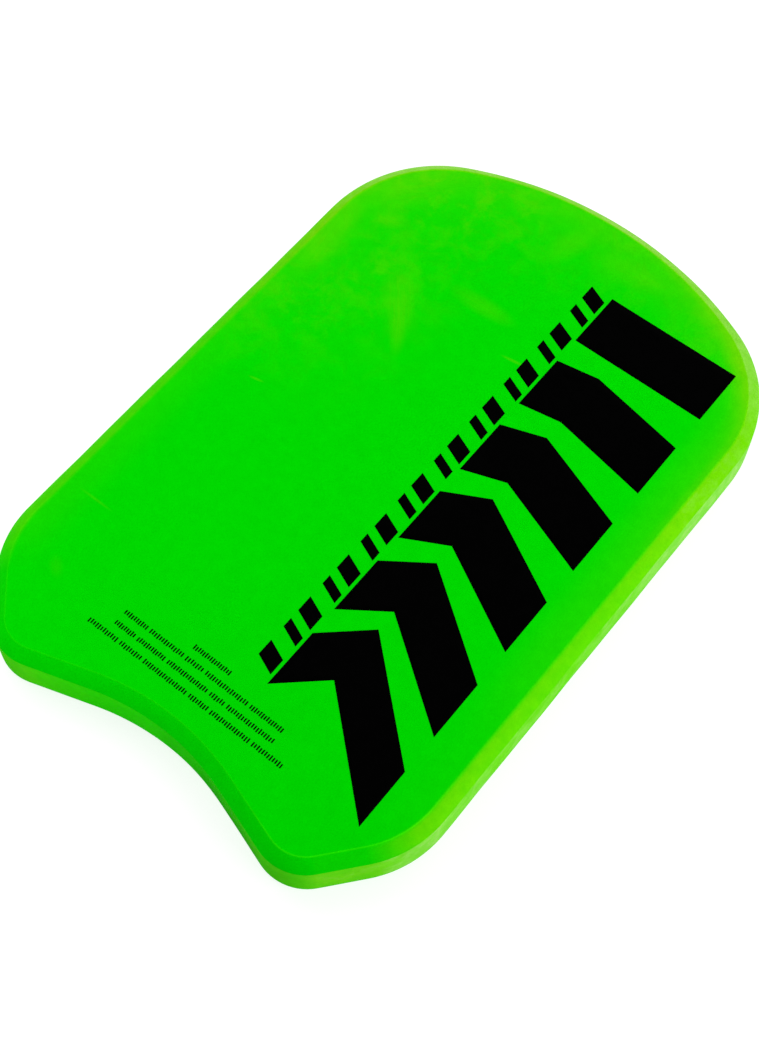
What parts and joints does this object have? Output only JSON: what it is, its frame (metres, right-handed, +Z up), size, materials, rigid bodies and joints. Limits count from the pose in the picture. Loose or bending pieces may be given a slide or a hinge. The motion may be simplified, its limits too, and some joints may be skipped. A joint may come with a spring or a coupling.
{
  "type": "swimming kickboard",
  "caption": "Flat foam swimming float with a rounded nose, straight sides, a notched tail with two rounded horns, bevelled edges and a printed geometric pattern on its deck.",
  "frame": {"origin": "middle of the board's bounding box, on the bottom face that it rests on", "axes": "+Y towards the rounded nose, along the board's length; +Z up, out of the printed deck; +X towards the long side that the bold print lies beside, so the board lies flat on its bottom face"},
  "size_m": [0.28, 0.421, 0.0345],
  "materials": {
    "green_foam": "matte closed-cell EVA foam with a fine moulded skin, vivid green",
    "core_green_foam": "matte closed-cell EVA foam on a cut edge, slightly yellower green",
    "black_ink": "solid black heat-pressed film, low sheen"
  },
  "bodies": {
    "root": {"bottom_sheet": "green_foam", "core_slab": "core_green_foam", "deck_sheet": "green_foam", "print_bar": "black_ink", "print_chevron_1": "black_ink", "print_chevron_2": "black_ink", "print_chevron_3": "black_ink", "print_chevron_4": "black_ink", "print_chevron_5": "black_ink", "print_note_1_1": "black_ink", "print_note_2_1": "black_ink", "print_note_2_2": "black_ink", "print_note_2_3": "black_ink", "print_note_2_4": "black_ink", "print_note_2_5": "black_ink", "print_note_3_1": "black_ink", "print_note_3_2": "black_ink", "print_note_3_3": "black_ink", "print_note_3_4": "black_ink", "print_note_3_5": "black_ink", "print_note_4_1": "black_ink", "print_note_4_2": "black_ink", "print_note_4_3": "black_ink", "print_note_4_4": "black_ink", "print_note_4_5": "black_ink", "print_note_4_6": "black_ink", "print_tick_01": "black_ink", "print_tick_02": "black_ink", "print_tick_03": "black_ink", "print_tick_04": "black_ink", "print_tick_05": "black_ink", "print_tick_06": "black_ink", "print_tick_07": "black_ink", "print_tick_08": "black_ink", "print_tick_09": "black_ink", "print_tick_10": "black_ink", "print_tick_11": "black_ink", "print_tick_12": "black_ink", "print_tick_13": "black_ink", "print_tick_14": "black_ink", "print_tick_15": "black_ink", "print_tick_16": "black_ink", "print_tick_17": "black_ink", "print_tick_18": "black_ink", "print_tick_19": "black_ink"}
  },
  "joints": []
}
